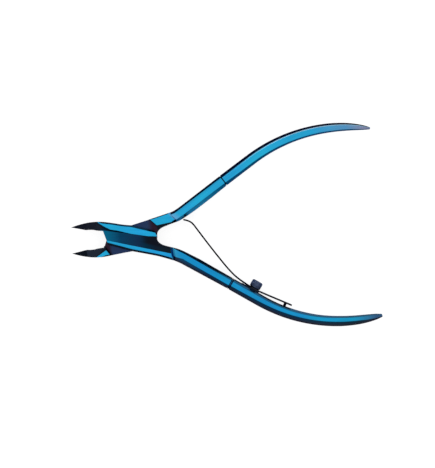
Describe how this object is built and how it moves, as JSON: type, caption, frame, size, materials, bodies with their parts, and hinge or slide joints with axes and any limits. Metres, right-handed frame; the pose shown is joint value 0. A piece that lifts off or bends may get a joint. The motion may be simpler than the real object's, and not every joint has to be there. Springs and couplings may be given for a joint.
{
  "type": "lap-joint nippers",
  "caption": "Slim blue-steel nippers with a lap joint, pointed cutting jaws, long curved handles and a leaf spring that opens them.",
  "frame": {"origin": "on the pivot axis, at the flat back face of the joint, which the tool lies on", "axes": "+Z along the pivot axis, up from the back face to the front face; +X from the pivot towards the handles, along the middle line of the open tool; +Y towards the upper grip"},
  "size_m": [0.1073, 0.0714, 0.0064],
  "materials": {
    "blue_steel": "polished",
    "spring_steel": "satin",
    "screw_steel": "satin"
  },
  "bodies": {
    "rear_half": {"rear_jaw": "blue_steel", "upper_grip": "blue_steel"},
    "front_half": {"front_jaw": "blue_steel", "lower_grip": "blue_steel", "pivot_screw": "screw_steel", "leaf_spring": "spring_steel", "spring_screw": "screw_steel", "locating_pin": "spring_steel"}
  },
  "joints": [
    {"name": "pivot", "type": "hinge", "parent": "rear_half", "child": "front_half", "pos_m": [0, 0, 0.0032], "axis": [0, 0, 1], "range_deg": [-12, 24.2], "stiffness_Nm_per_rad": 0.6, "deforming": ["leaf_spring"]}
  ]
}
